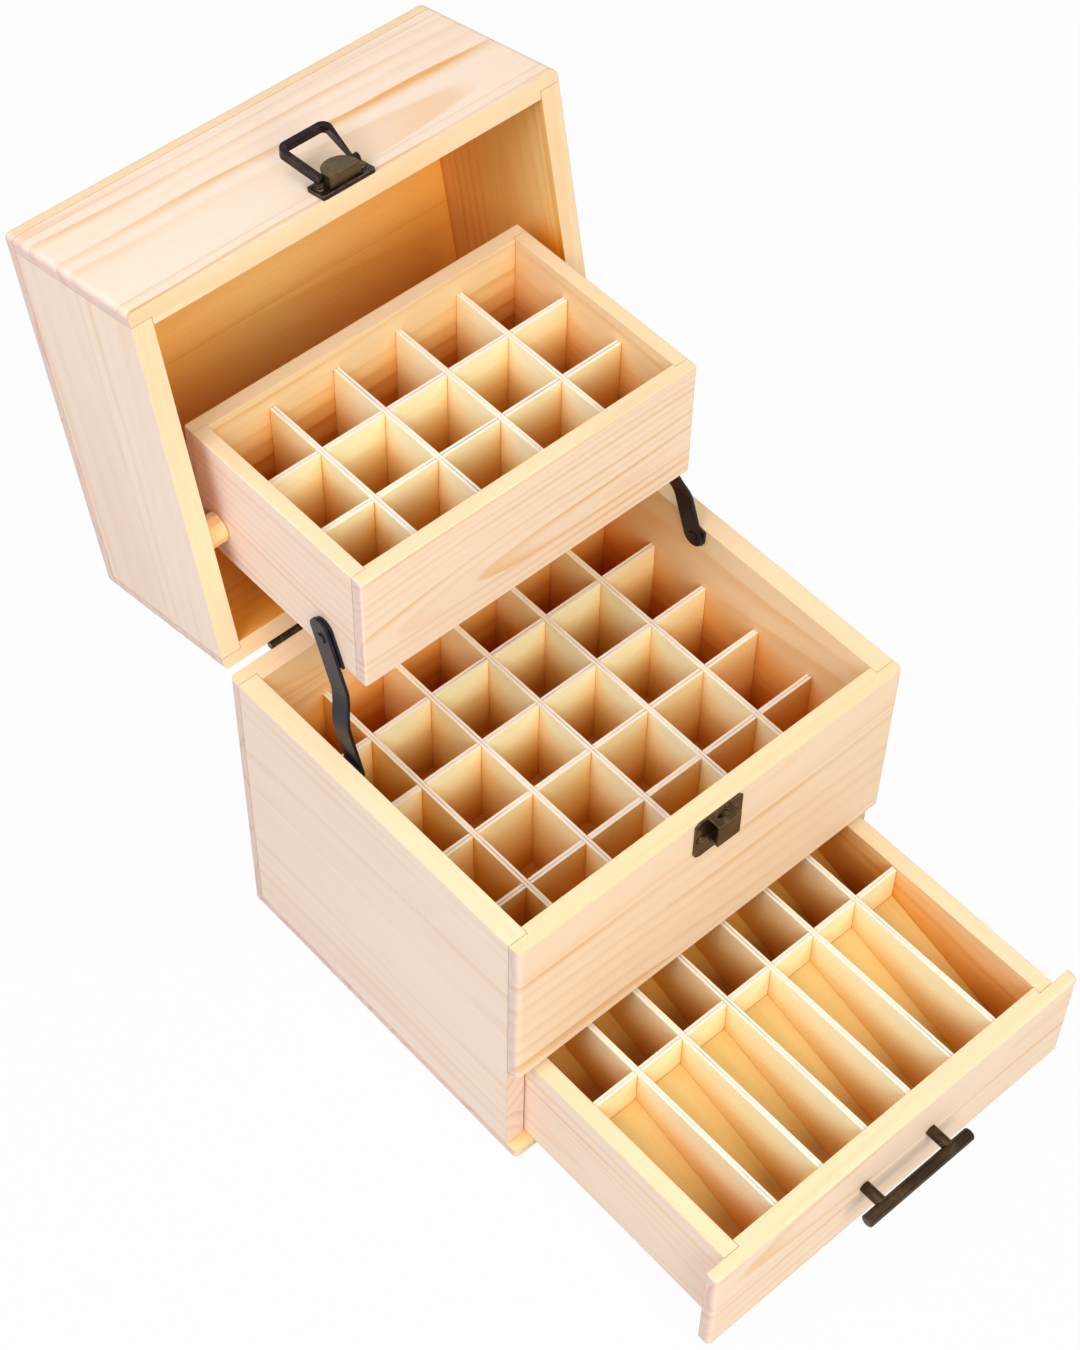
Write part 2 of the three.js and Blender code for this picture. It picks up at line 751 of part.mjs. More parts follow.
// The lever's face is flat towards the rim and round at its far end, and the bail's pins go through it.
function latchLever() {
  const half = leverWidth / 2;
  const low = lidBottom + leverRimDistance;
  const roundMiddle = low + leverHeight - half;
  const shape = new THREE.Shape();
  shape.moveTo(-half, low);
  shape.lineTo(half, low);
  shape.absarc(0, roundMiddle, half, 0, Math.PI);
  const body = prism(shape, 'y', outFrom(latchPlateThickness + glueGap, leverStandoff));
  const pinPlace = [baseFront - bailStandoff, lidBottom + bailRimDistance];
  return cut(body, rod(bailPinRadius + runningGap, 'x', [-leverWidth, leverWidth], pinPlace));
}

// A loop of flat strap, upright along Z and narrower at its pivot, with a pin in each leg.
function latchBail() {
  const outerHalf = bailWidth / 2;
  const innerHalf = outerHalf - bailStrapThickness;
  const pivotOuterHalf = bailPivotWidth / 2;
  const pivotInnerHalf = pivotOuterHalf - bailStrapThickness;
  const innerRadius = bailCornerRadius - bailStrapThickness;
  const depth = [-bailStrapDepth / 2, bailStrapDepth / 2];
  const innerReach = bailReach - bailStrapThickness;
  const quarter = Math.PI / 2;
  const loop = new THREE.Shape();
  loop.moveTo(pivotOuterHalf, 0);
  loop.absarc(outerHalf - bailCornerRadius, bailReach - bailCornerRadius, bailCornerRadius, 0, quarter);
  loop.absarc(bailCornerRadius - outerHalf, bailReach - bailCornerRadius, bailCornerRadius, quarter, Math.PI);
  loop.lineTo(-pivotOuterHalf, 0);
  loop.lineTo(-pivotInnerHalf, 0);
  loop.absarc(innerRadius - innerHalf, innerReach - innerRadius, innerRadius, Math.PI, quarter, true);
  loop.absarc(innerHalf - innerRadius, innerReach - innerRadius, innerRadius, quarter, 0, true);
  loop.lineTo(pivotInnerHalf, 0);
  const pinInner = leverWidth / 2 - bailPinReach;
  const knuckleRadius = bailStrapDepth / 2;
  return join(
    prism(loop, 'y', depth),
    rod(knuckleRadius, 'x', [pivotInnerHalf, pivotOuterHalf], [0, 0]),
    rod(knuckleRadius, 'x', [-pivotOuterHalf, -pivotInnerHalf], [0, 0]),
    rod(bailPinRadius, 'x', [pinInner, pivotOuterHalf - glueGap], [0, 0]),
    rod(bailPinRadius, 'x', [glueGap - pivotOuterHalf, -pinInner], [0, 0]),
  );
}

// The catch's plate with a hood on it, open at both sides and slotted on top, under which the bail hooks.
function latchCatch() {
  const half = catchPlateWidth / 2;
  const top = baseHeight - catchRimDrop;
  const low = top - catchPlateHeight;
  const plateShape = new THREE.Shape();
  plateShape.moveTo(half, top - catchPlateChamfer);
  plateShape.lineTo(half - catchPlateChamfer, top);
  plateShape.lineTo(catchPlateChamfer - half, top);
  plateShape.lineTo(-half, top - catchPlateChamfer);
  plateShape.absarc(catchPlateRadius - half, low + catchPlateRadius, catchPlateRadius, Math.PI, Math.PI * 1.5);
  plateShape.absarc(half - catchPlateRadius, low + catchPlateRadius, catchPlateRadius, Math.PI * 1.5, Math.PI * 2);
  const plate = prism(plateShape, 'y', outFrom(glueGap, catchPlateThickness));
  const hookTop = baseHeight - hookRimDistance;
  const hookHalf = hookWidth / 2;
  const hood = block([-hookHalf, hookHalf], outFrom(glueGap, hookDepth), [hookTop - hookHeight, hookTop]);
  const inside = block(
    [-hookWidth, hookWidth],
    outFrom(catchPlateThickness, hookDepth - hookWall),
    [hookTop - hookHeight + hookWall, hookTop - hookWall],
  );
  const slotShape = new THREE.Shape();
  slotShape.absellipse(0, baseFront - hookSlotStandoff, hookSlotLength / 2, hookSlotWidth / 2, 0, Math.PI * 2);
  const slot = prism(slotShape, 'z', [hookTop - hookWall - glueGap, hookTop + overrun]);
  return cut(join(plate, hood), inside, slot);
}

function addLatch() {
  addPiece(lid, 'latch_plate', latchPlate(), bronze);
  addPiece(lid, 'latch_lever', latchLever(), bronze);
  addPiece(box, 'latch_catch', latchCatch(), bronze);
  const bail = new THREE.Group();
  bail.position.set(0, baseFront - bailStandoff, lidBottom + bailRimDistance);
  bail.rotation.x = bailRestAngle;
  lid.add(bail);
  addPiece(bail, 'latch_bail', latchBail(), bronze);
}

addBaseBoards();
addLidBoards();
addHinges();
addTray();
addTrayLinks();
addDrawer();
addPull();
addLatch();

export default box;
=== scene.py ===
"""Essential oil storage box: wood, metal, small fittings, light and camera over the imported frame."""

import math

import bmesh
import bpy
from mathutils import Matrix, Vector


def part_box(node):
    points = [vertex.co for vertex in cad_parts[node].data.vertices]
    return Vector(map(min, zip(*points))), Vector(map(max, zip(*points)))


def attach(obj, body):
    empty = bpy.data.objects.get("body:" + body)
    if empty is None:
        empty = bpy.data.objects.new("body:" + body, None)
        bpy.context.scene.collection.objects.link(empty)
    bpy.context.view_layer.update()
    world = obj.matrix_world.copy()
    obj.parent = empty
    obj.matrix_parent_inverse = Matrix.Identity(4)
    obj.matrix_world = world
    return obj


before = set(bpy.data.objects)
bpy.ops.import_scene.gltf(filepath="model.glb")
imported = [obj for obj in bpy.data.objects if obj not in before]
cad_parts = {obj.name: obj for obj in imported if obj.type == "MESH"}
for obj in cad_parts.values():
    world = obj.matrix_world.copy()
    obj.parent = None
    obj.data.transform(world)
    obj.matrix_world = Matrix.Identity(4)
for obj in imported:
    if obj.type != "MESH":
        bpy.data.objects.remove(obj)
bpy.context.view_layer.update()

# Camera, in metres, solved from the box's edges in the photograph
CAMERA_PLACE = Vector((-0.5457, -0.5714, 1.1920))
CAMERA_FORWARD = Vector((0.41717, 0.45083, -0.78913))
CAMERA_RIGHT = Vector((0.74603, -0.66576, 0.01404))
SENSOR_HEIGHT = 36.0
LENS = 75.43

# Light: place, size in metres, power in watts and colour
LIGHT_TARGET = Vector((0.0, -0.02, 0.18))
LIGHTS = {
    "front_light": (Vector((-0.45, -1.75, 1.60)), 1.3, 40.0, (1.0, 0.985, 0.92)),
    "left_light": (Vector((-1.30, -0.10, 1.50)), 0.9, 21.0, (0.755, 0.80, 1.0)),
    "top_light": (Vector((-0.20, 0.70, 2.00)), 1.0, 6.5, (0.98, 0.99, 1.0)),
}
WORLD_FILL = 0.38
WORLD_FILL_COLOR = (1.0, 0.98, 0.91, 1.0)
WORLD_SEEN = 1.0
WORLD_SEEN_COLOR = (1.0, 1.0, 1.0, 1.0)
FLOOR_HALF = 40.0
FLOOR_COLOR = (0.50, 0.50, 0.50, 1.0)
FLOOR_ROUGHNESS = 0.9
FLOOR_WHITE_SHARE = 0.97

# Directions of the boards, and of the open lid's boards
X = Vector((1, 0, 0))
Y = Vector((0, 1, 0))
Z = Vector((0, 0, 1))
LID_OPEN_ANGLE = math.radians(102)
LID_PIVOT = Vector((0.0, 0.101, 0.17925))
LID_TURN = Matrix.Rotation(-LID_OPEN_ANGLE, 3, "X")
LID_Y = LID_TURN @ Y
LID_Z = LID_TURN @ Z

# The middles of the boxes, which their inner faces look towards
CORES = {
    "base": Vector((0.0, 0.0, 0.170)),
    "lid": Vector((0.0, 0.170, 0.270)),
    "tray": Vector((0.0, 0.0846, 0.260)),
    "drawer": Vector((0.0, -0.140, 0.040)),
}

# Colours of the pine, from 0 to 255
PINE_EARLY = (248, 225, 202)
PINE_LATE = (230, 170, 92)
PINE_BLUSH = (244, 213, 187)
PINE_GOLD = (244, 208, 158)
PINE_FIBRE = (232, 200, 168)
PINE_END = (232, 203, 186)
PINE_END_RING = (206, 168, 146)
PINE_SEAM = (206, 166, 126)
PINE_EDGE = (249, 241, 209)
# Painted light: warmer tints for the faces inside the boxes, standing in for the warm light bounced inside
# them
PINE_INSIDE_PAINTED_LIGHT = (255, 255, 236)
LID_INSIDE_PAINTED_LIGHT = (255, 254, 210)

# Colours of the plywood
PLY_FACE = (253, 248, 217)
PLY_LATE = (251, 237, 186)
PLY_CLOUD = (252, 240, 197)
PLY_CORE = (178, 164, 166)
PLY_EDGE = (243, 224, 206)
RAMP_FACE = (215, 205, 158)
RAMP_LATE = (209, 192, 134)

# Painted shade: tints that make wood yellower near other wood and darker orange deep in cells and boxes,
# for the shade and bounced light there, and how open a place is where they end
PAINTED_SHADE_YELLOW = (252, 246, 204)
PAINTED_SHADE_ORANGE = (249, 180, 60)
PAINTED_SHADE_SAMPLES = 4
PAINTED_SHADE_REACH = 0.10
SHADE_OPEN_TIMES = 2.0
PAINTED_SHADE_CLOSED_SHARE = 0.3
INWARD_REACH = 0.01
OPEN_IN_CELL = 0.25
OPEN_ON_RAMP = 0.39
OPEN_IN_BOX = 0.38
OPENS = {"lid": 0.75, "tray": 0.30}

# Strips that a board is glued up from, in metres, and what picks each strip's own numbers
STRIP_WIDTH = 0.072
STRIP_SHIFT = 0.013
STRIP_KEY_STEP = 7.13
SECOND_KEY_STEP = 3.7
SEAM_WIDTH = 0.00025
SEAM_DEPTH_SHARE = 1.2
SEAM_COLOR_SHARE = 0.18

# Growth rings: the pith behind each strip, the rings round it and how they wander, in metres
PITH_SHIFT_SHARE = 0.25
PITH_LEAST_DEPTH = 0.014
PITH_DEPTH_SPREAD = 0.03
PITH_LEAN_SPREAD = 0.16
RING_SPACING = 0.0058
RING_LEAST_SHARE = 0.75
DRIFT_REACH = 0.016
WOBBLE_REACH = 0.0008
NOISE_MIDDLE = 0.5

# How fast each noise in the wood changes, per metre along the fibres and across them
DRIFT_RATES = (4.0, 14.0)
WOBBLE_RATES = (22.0, 260.0)
PATCH_RATES = (9.0, 34.0)
BLUSH_RATES = (7.0, 24.0)
FIBRE_RATES = (60.0, 1700.0)
END_GRIT_RATES = (2600.0, 2600.0)
PLY_GRAIN_RATES = (16.0, 320.0)
PLY_CLOUD_RATES = (12.0, 20.0)
CORE_WANDER_RATES = (90.0, 90.0)
CORE_PATCH_RATES = (26.0, 26.0)
FINE_DETAIL = 3.0
FINE_ROUGHNESS = 0.6
PATCH_DETAIL = 1.0

# Ramps: the values where a change starts and ends, and what it gives before and after
RING_STRENGTH_SHARES = (0.0, 1.0, 0.15, 1.0)
LATE_RISE_SHARES = (0.3, 0.88)
LATE_FALL_SHARES = (0.88, 1.0, 1.0, 0.0)
PATCH_SHARES = (0.35, 0.7, 0.3, 1.0)
BLUSH_SHARES = (0.4, 0.75, 0.0, 0.45)
FIBRE_SHARES = (0.45, 0.8, 0.0, 0.35)
END_MARK_SHARES = (0.3, 0.7, 0.25, 0.85)
END_FACE_SHARES = (0.5, 0.95)
PLY_GRAIN_SHARES = (0.45, 0.8, 0.0, 0.7)
PLY_CLOUD_SHARES = (0.4, 0.7, 0.0, 0.4)
CORE_SHARES = (0.07, 0.16, 0.95, 0.0)
CORE_PATCH_SHARES = (0.4, 0.68, 0.3, 1.0)
PLY_EDGE_SHARES = (0.1, 0.6, 1.0, 0.0)

# Strength of the wood's other marks, its roughness and its relief
EDGE_CALM_SHARE = 0.7
EDGE_COLOR_SHARE = 0.75
PLY_EDGE_COLOR_SHARE = 0.7
CORE_WANDER_SHARE = 0.12
TONE_LEAST = 0.97
TONE_SPREAD = 0.03
PINE_ROUGHNESS = 0.52
PINE_FIBRE_ROUGHNESS = 0.14
PINE_LATE_ROUGHNESS = -0.08
PLY_ROUGHNESS = 0.55
PLY_GRAIN_ROUGHNESS = 0.15
FIBRE_HEIGHT_SHARE = 0.5
LATE_HEIGHT_SHARE = 0.3
DIVIDER_THICKNESS = 0.003
WOOD_SPECULAR = 0.3
WOOD_EDGE_RADIUS = 0.0004
WOOD_EDGE_SAMPLES = 4
WOOD_BUMP = 0.35
PINE_BUMP_DISTANCE = 0.0002
PLY_BUMP_DISTANCE = 0.00012

# How strongly the growth rings show
FIGURES = {
    "lid_front": 1.1,
    "lid_left": 0.35,
    "tray_front": 0.9,
    "tray_back": 1.0,
    "base_front": 0.9,
    "base_left": 0.4,
    "base_right": 0.9,
}
PLAIN_FIGURE = 0.6

# How golden the boards are: partly each board's own tone, partly a painted warm shade on the boards that
# lie in shadow
GOLDS_AND_PAINTED_SHADE = {
    "lid_front": 0.0,
    "lid_left": 0.0,
    "tray_left": 0.0,
    "tray_back": 0.2,
    "tray_right": 0.2,
    "base_front": 0.3,
    "base_left": 0.0,
}
PLAIN_GOLD = 0.1

# Seeds of the boards whose figure is chosen, and the others' first seed and step
SEEDS = {"lid_front": 63.59, "tray_front": 56.85, "base_front": 53.48}
FIRST_SEED = 1.37
SEED_STEP = 2.61

# Metal: dark and worn colours, roughness, how metallic, scale and share of the patina, and the edges' wear,
# partly a painted highlight
METALS = {
    "antique_bronze": ((66, 49, 33), (178, 144, 84), 0.36, 0.8, 150.0, 0.3, 0.95),
    "plate_bronze": ((48, 36, 32), (178, 144, 84), 0.34, 0.8, 150.0, 0.2, 0.95),
    "pull_bronze": ((52, 39, 30), (196, 158, 96), 0.28, 0.85, 60.0, 0.12, 0.95),
    "dark_bronze": ((36, 27, 33), (120, 98, 84), 0.30, 0.85, 120.0, 0.2, 0.45),
    "lever_brass": ((88, 70, 46), (172, 142, 86), 0.36, 0.75, 160.0, 0.3, 0.7),
    "hinge_brass": ((62, 46, 30), (172, 132, 74), 0.34, 0.85, 220.0, 0.3, 0.7),
    "screw_steel": ((150, 148, 145), (205, 203, 200), 0.32, 0.95, 300.0, 0.3, 0.3),
    "black_steel": ((22, 19, 30), (78, 70, 88), 0.38, 0.55, 90.0, 0.25, 0.25),
}
METAL_NODES = {
    "latch_plate": "plate_bronze",
    "latch_catch": "antique_bronze",
    "drawer_pull": "pull_bronze",
    "latch_bail": "dark_bronze",
    "latch_lever": "lever_brass",
}
SIDED_METAL_NODES = {
    "hinge_base_leaf": "hinge_brass",
    "hinge_lid_leaf": "hinge_brass",
    "tray_arm": "black_steel",
    "arm_base_plate": "black_steel",
}
METAL_EDGE_RADIUS = 0.0004
METAL_EDGE_SAMPLES = 6
PATINA_DETAIL = 4.0
PATINA_SPAN_SHARES = (0.45, 0.8)
PATINA_ROUGHNESS = 0.25
PATINA_ROUGHNESS_OFFSET = -0.12
WEAR_AND_HIGHLIGHT_BEND_SHARES = (0.8, 0.995, 1.0, 0.0)
RUB_RATE = 420.0
RUB_SHARES = (0.3, 0.6)
METAL_GRIT_RATE = 900.0
METAL_BUMP = 0.25
METAL_BUMP_DISTANCE = 0.0001

# Plates on the tray's sides that take the arms' upper rivets, in metres
ROUND_STEPS = 32
TRAY_HALF_WIDTH = 0.096
TRAY_UNDERSIDE = 0.22575
ARM_TOP_PIVOT = (0.0500, 0.23875)
LINK_BACK = 0.0245
LINK_UP = 0.0655
ARM_LEAN = math.atan2(LINK_BACK, LINK_UP)
SHOE_HALF_WIDTH = 0.0062
SHOE_ABOVE_PIVOT = 0.0035
SHOE_THICKNESS = 0.0012
GLUE_GAP = 0.0002

# Screw heads: shares of their radius and height
SCREW_RIM_HEIGHT_SHARE = 0.3
SCREW_DOME_RADIUS_SHARE = 0.86
SCREW_DOME_HEIGHT_SHARE = 0.9
CROSS_ARMS = 4
SCREW_CROSS_SHARE = 0.62
SCREW_SLOT_SHARE = 0.16
SCREW_CROSS_FLOOR_SHARE = 0.55
SCREW_CROSS_TAPER_SHARE = 0.6
SMALLEST_SINE = 1e-6

# Screws of the right side: their places in metres, those of the lid's latch and hinges as when it is closed
SCREW_PLACES = {
    "latch_screw_{}": Vector((0.0111, -0.1012, 0.1857)),
    "catch_screw_{}": Vector((0.0106, -0.1000, 0.1650)),
    "pull_screw_{}": Vector((0.02175, -0.2185, 0.0410)),
    "pivot_screw_{}": Vector((0.0884, 0.1255, 0.24475)),
    "hinge_base_screw_{}_inner": Vector((0.078, 0.1002, 0.1705)),
    "hinge_lid_screw_{}_inner": Vector((0.078, 0.1002, 0.1880)),
    "hinge_base_screw_{}_outer": Vector((0.088, 0.1002, 0.1705)),
    "hinge_lid_screw_{}_outer": Vector((0.088, 0.1002, 0.1880)),
}

# The same screws: the way they face, radius and height in metres, turn of the cross, body and metal
SCREWS = {
    "latch_screw_{}": (-Y, 0.0022, 0.0008, 0.3, "lid", "antique_bronze"),
    "catch_screw_{}": (-Y, 0.0025, 0.0008, 0.6, "base", "antique_bronze"),
    "pull_screw_{}": (Y, 0.0036, 0.0018, 0.5, "drawer", "screw_steel"),
    "pivot_screw_{}": (-X, 0.0048, 0.0034, 0.2, "lid", "screw_steel"),
    "hinge_base_screw_{}_inner": (Y, 0.0019, 0.0006, -0.45, "base", "hinge_brass"),
    "hinge_lid_screw_{}_inner": (Y, 0.0019, 0.0006, -0.35, "lid", "hinge_brass"),
    "hinge_base_screw_{}_outer": (Y, 0.0019, 0.0006, 0.45, "base", "hinge_brass"),
    "hinge_lid_screw_{}_outer": (Y, 0.0019, 0.0006, 0.35, "lid", "hinge_brass"),
}
CLOSED_LID_SCREWS = ("latch_screw", "hinge_lid_screw")
SIDES = {"left": -1, "right": 1}


def srgb(color):
    """A linear colour with alpha from a colour written from 0 to 255."""
    def linear(value):
        share = value / 255
        return share / 12.92 if share <= 0.04045 else ((share + 0.055) / 1.055) ** 2.4
    return tuple(linear(value) for value in color) + (1.0,)


class Tree:
    """Short calls to add and link nodes in one node tree."""

    def __init__(self, tree):
        self.tree = tree

    def add(self, kind, **settings):
        node = self.tree.nodes.new(kind)
        for name, value in settings.items():
            setattr(node, name, value)
        return node

    def feed(self, socket, value):
        if isinstance(value, bpy.types.NodeSocket):
            self.tree.links.new(value, socket)
        else:
            socket.default_value = value

    def math(self, operation, *values):
        node = self.add("ShaderNodeMath", operation=operation)
        for socket, value in zip(node.inputs, values):
            self.feed(socket, value)
        return node.outputs[0]

    def plus(self, first, second):
        return self.math("ADD", first, second)

    def minus(self, first, second):
        return self.math("SUBTRACT", first, second)

    def times(self, first, second):
        return self.math("MULTIPLY", first, second)

    def vector(self, operation, *values):
        node = self.add("ShaderNodeVectorMath", operation=operation)
        for socket, value in zip(node.inputs, values):
            self.feed(socket, value)
        return node.outputs["Value"] if operation == "DOT_PRODUCT" else node.outputs["Vector"]

    def stretched(self, along, across, third, rates, third_rate=1.0):
        """A place for noise that changes at one rate along the fibres and at another across them."""
        node = self.add("ShaderNodeCombineXYZ")
        pairs = ((along, rates[0]), (across, rates[1]), (third, third_rate))
        for socket, (value, rate) in zip(node.inputs, pairs):
            self.feed(socket, self.times(value, rate))
        return node.outputs[0]

    def grey(self, value):
        node = self.add("ShaderNodeCombineXYZ")
        for socket in node.inputs:
            self.feed(socket, value)
        return node.outputs[0]

    def noise(self, place, scale=1.0, detail=2.0, roughness=0.5):
        node = self.add("ShaderNodeTexNoise", noise_dimensions="3D")
        self.feed(node.inputs["Vector"], place)
        node.inputs["Scale"].default_value = scale
        node.inputs["Detail"].default_value = detail
        node.inputs["Roughness"].default_value = roughness
        return node.outputs["Fac"]

    def random(self, number):
        node = self.add("ShaderNodeTexWhiteNoise", noise_dimensions="1D")
        self.feed(node.inputs["W"], number)
        return node.outputs["Value"]

    def ramp(self, value, low, high, to_low=0.0, to_high=1.0):
        node = self.add("ShaderNodeMapRange", interpolation_type="SMOOTHSTEP")
        for socket, number in zip(node.inputs, (value, low, high, to_low, to_high)):
            self.feed(socket, number)
        return node.outputs[0]

    def mix(self, share, first, second, blend="MIX"):
        node = self.add("ShaderNodeMix", data_type="RGBA", blend_type=blend)
        self.feed(node.inputs[0], share)
        self.feed(node.inputs[6], first)
        self.feed(node.inputs[7], second)
        return node.outputs[2]


def new_group(name, numbers, colors=()):
    """A node group that takes a board's directions, numbers and colours, and gives a finish."""
    group = bpy.data.node_groups.new(name, "ShaderNodeTree")
    for socket in ("Along", "Across", "Through", "Middle", "Core"):
        group.interface.new_socket(socket, in_out="INPUT", socket_type="NodeSocketVector")
    for socket in numbers:
        group.interface.new_socket(socket, in_out="INPUT", socket_type="NodeSocketFloat")
    for socket in colors:
        group.interface.new_socket(socket, in_out="INPUT", socket_type="NodeSocketColor")
    for socket, kind in (("Color", "Color"), ("Roughness", "Float"), ("Height", "Float")):
        group.interface.new_socket(socket, in_out="OUTPUT", socket_type=f"NodeSocket{kind}")
    tree = Tree(group)
    return group, tree, tree.add("NodeGroupInput").outputs


def board_coordinates(tree, given):
    """Distances along the fibres, across the board's face and through it, from its middle."""
    place = tree.add("ShaderNodeTexCoord").outputs["Object"]
    from_middle = tree.vector("SUBTRACT", place, given["Middle"])
    return [tree.vector("DOT_PRODUCT", from_middle, given[name]) for name in ("Along", "Across", "Through")]


def facing(tree, direction):
    """How squarely the surface faces along a direction, from 0 to 1."""
    normal = tree.add("ShaderNodeTexCoord").outputs["Normal"]
    return tree.math("ABSOLUTE", tree.vector("DOT_PRODUCT", normal, direction))


def facing_inward(tree, core):
    """1 where the surface faces the middle of its box, and 0 where it faces away."""
    place = tree.add("ShaderNodeTexCoord").outputs["Object"]
    to_core = tree.vector("SUBTRACT", core, place)
    normal = tree.add("ShaderNodeTexCoord").outputs["Normal"]
    return tree.ramp(tree.vector("DOT_PRODUCT", normal, to_core), 0.0, INWARD_REACH)


def painted_cell_shade(tree, color, opened, share):
    """Painted shade: a colour made yellower where other wood is near, and darker orange where it surrounds
    the surface, standing in for the shade and warm bounced light deep in cells and boxes.
    """
    near = tree.add("ShaderNodeAmbientOcclusion", samples=PAINTED_SHADE_SAMPLES)
    near.inputs["Distance"].default_value = PAINTED_SHADE_REACH
    air = near.outputs["AO"]
    shaded = tree.ramp(air, 0.0, tree.times(opened, SHADE_OPEN_TIMES), 1.0, 0.0)
    color = tree.mix(tree.times(shaded, share), color, srgb(PAINTED_SHADE_YELLOW), "MULTIPLY")
    deep = tree.ramp(air, tree.times(opened, PAINTED_SHADE_CLOSED_SHARE), opened, 1.0, 0.0)
    return tree.mix(tree.times(deep, share), color, srgb(PAINTED_SHADE_ORANGE), "MULTIPLY")


def write_finish(tree, color, roughness, height):
    out = tree.add("NodeGroupOutput").inputs
    tree.feed(out["Color"], color)
    tree.feed(out["Roughness"], roughness)
    tree.feed(out["Height"], height)


def ring_marks(tree, coordinates, strip_width, in_strip, strip_key, randoms):
    """Late wood of the rings round a pith behind the strip, which leans and wanders along it."""
    along, across, through = coordinates
    first_random, second_random = randoms
    drift = tree.minus(tree.noise(tree.stretched(along, across, strip_key, DRIFT_RATES)), NOISE_MIDDLE)
    pith_across = tree.times(tree.minus(first_random, PITH_SHIFT_SHARE), strip_width)
    pith_depth = tree.plus(tree.times(second_random, PITH_DEPTH_SPREAD), PITH_LEAST_DEPTH)
    lean = tree.times(tree.minus(second_random, NOISE_MIDDLE), PITH_LEAN_SPREAD)
    ring_across = tree.minus(in_strip, pith_across)
    ring_depth = tree.plus(tree.plus(through, pith_depth), tree.times(along, lean))
    squares = tree.plus(tree.times(ring_across, ring_across), tree.times(ring_depth, ring_depth))
    radius = tree.plus(tree.math("SQRT", squares), tree.times(drift, DRIFT_REACH))
    fine_place = tree.stretched(along, across, through, WOBBLE_RATES, WOBBLE_RATES[1])
    fine = tree.noise(fine_place, detail=FINE_DETAIL, roughness=FINE_ROUGHNESS)
    wobble = tree.times(tree.minus(fine, NOISE_MIDDLE), WOBBLE_REACH)
    spacing = tree.times(tree.plus(second_random, RING_LEAST_SHARE), RING_SPACING)
    ring_place = tree.math("DIVIDE", tree.plus(radius, wobble), spacing)
    in_ring = tree.math("FRACT", ring_place)
    ring_key = tree.plus(tree.math("FLOOR", ring_place), strip_key)
    ring_strength = tree.ramp(tree.random(ring_key), *RING_STRENGTH_SHARES)
    late = tree.times(tree.ramp(in_ring, *LATE_RISE_SHARES), tree.ramp(in_ring, *LATE_FALL_SHARES))
    return tree.times(late, ring_strength)


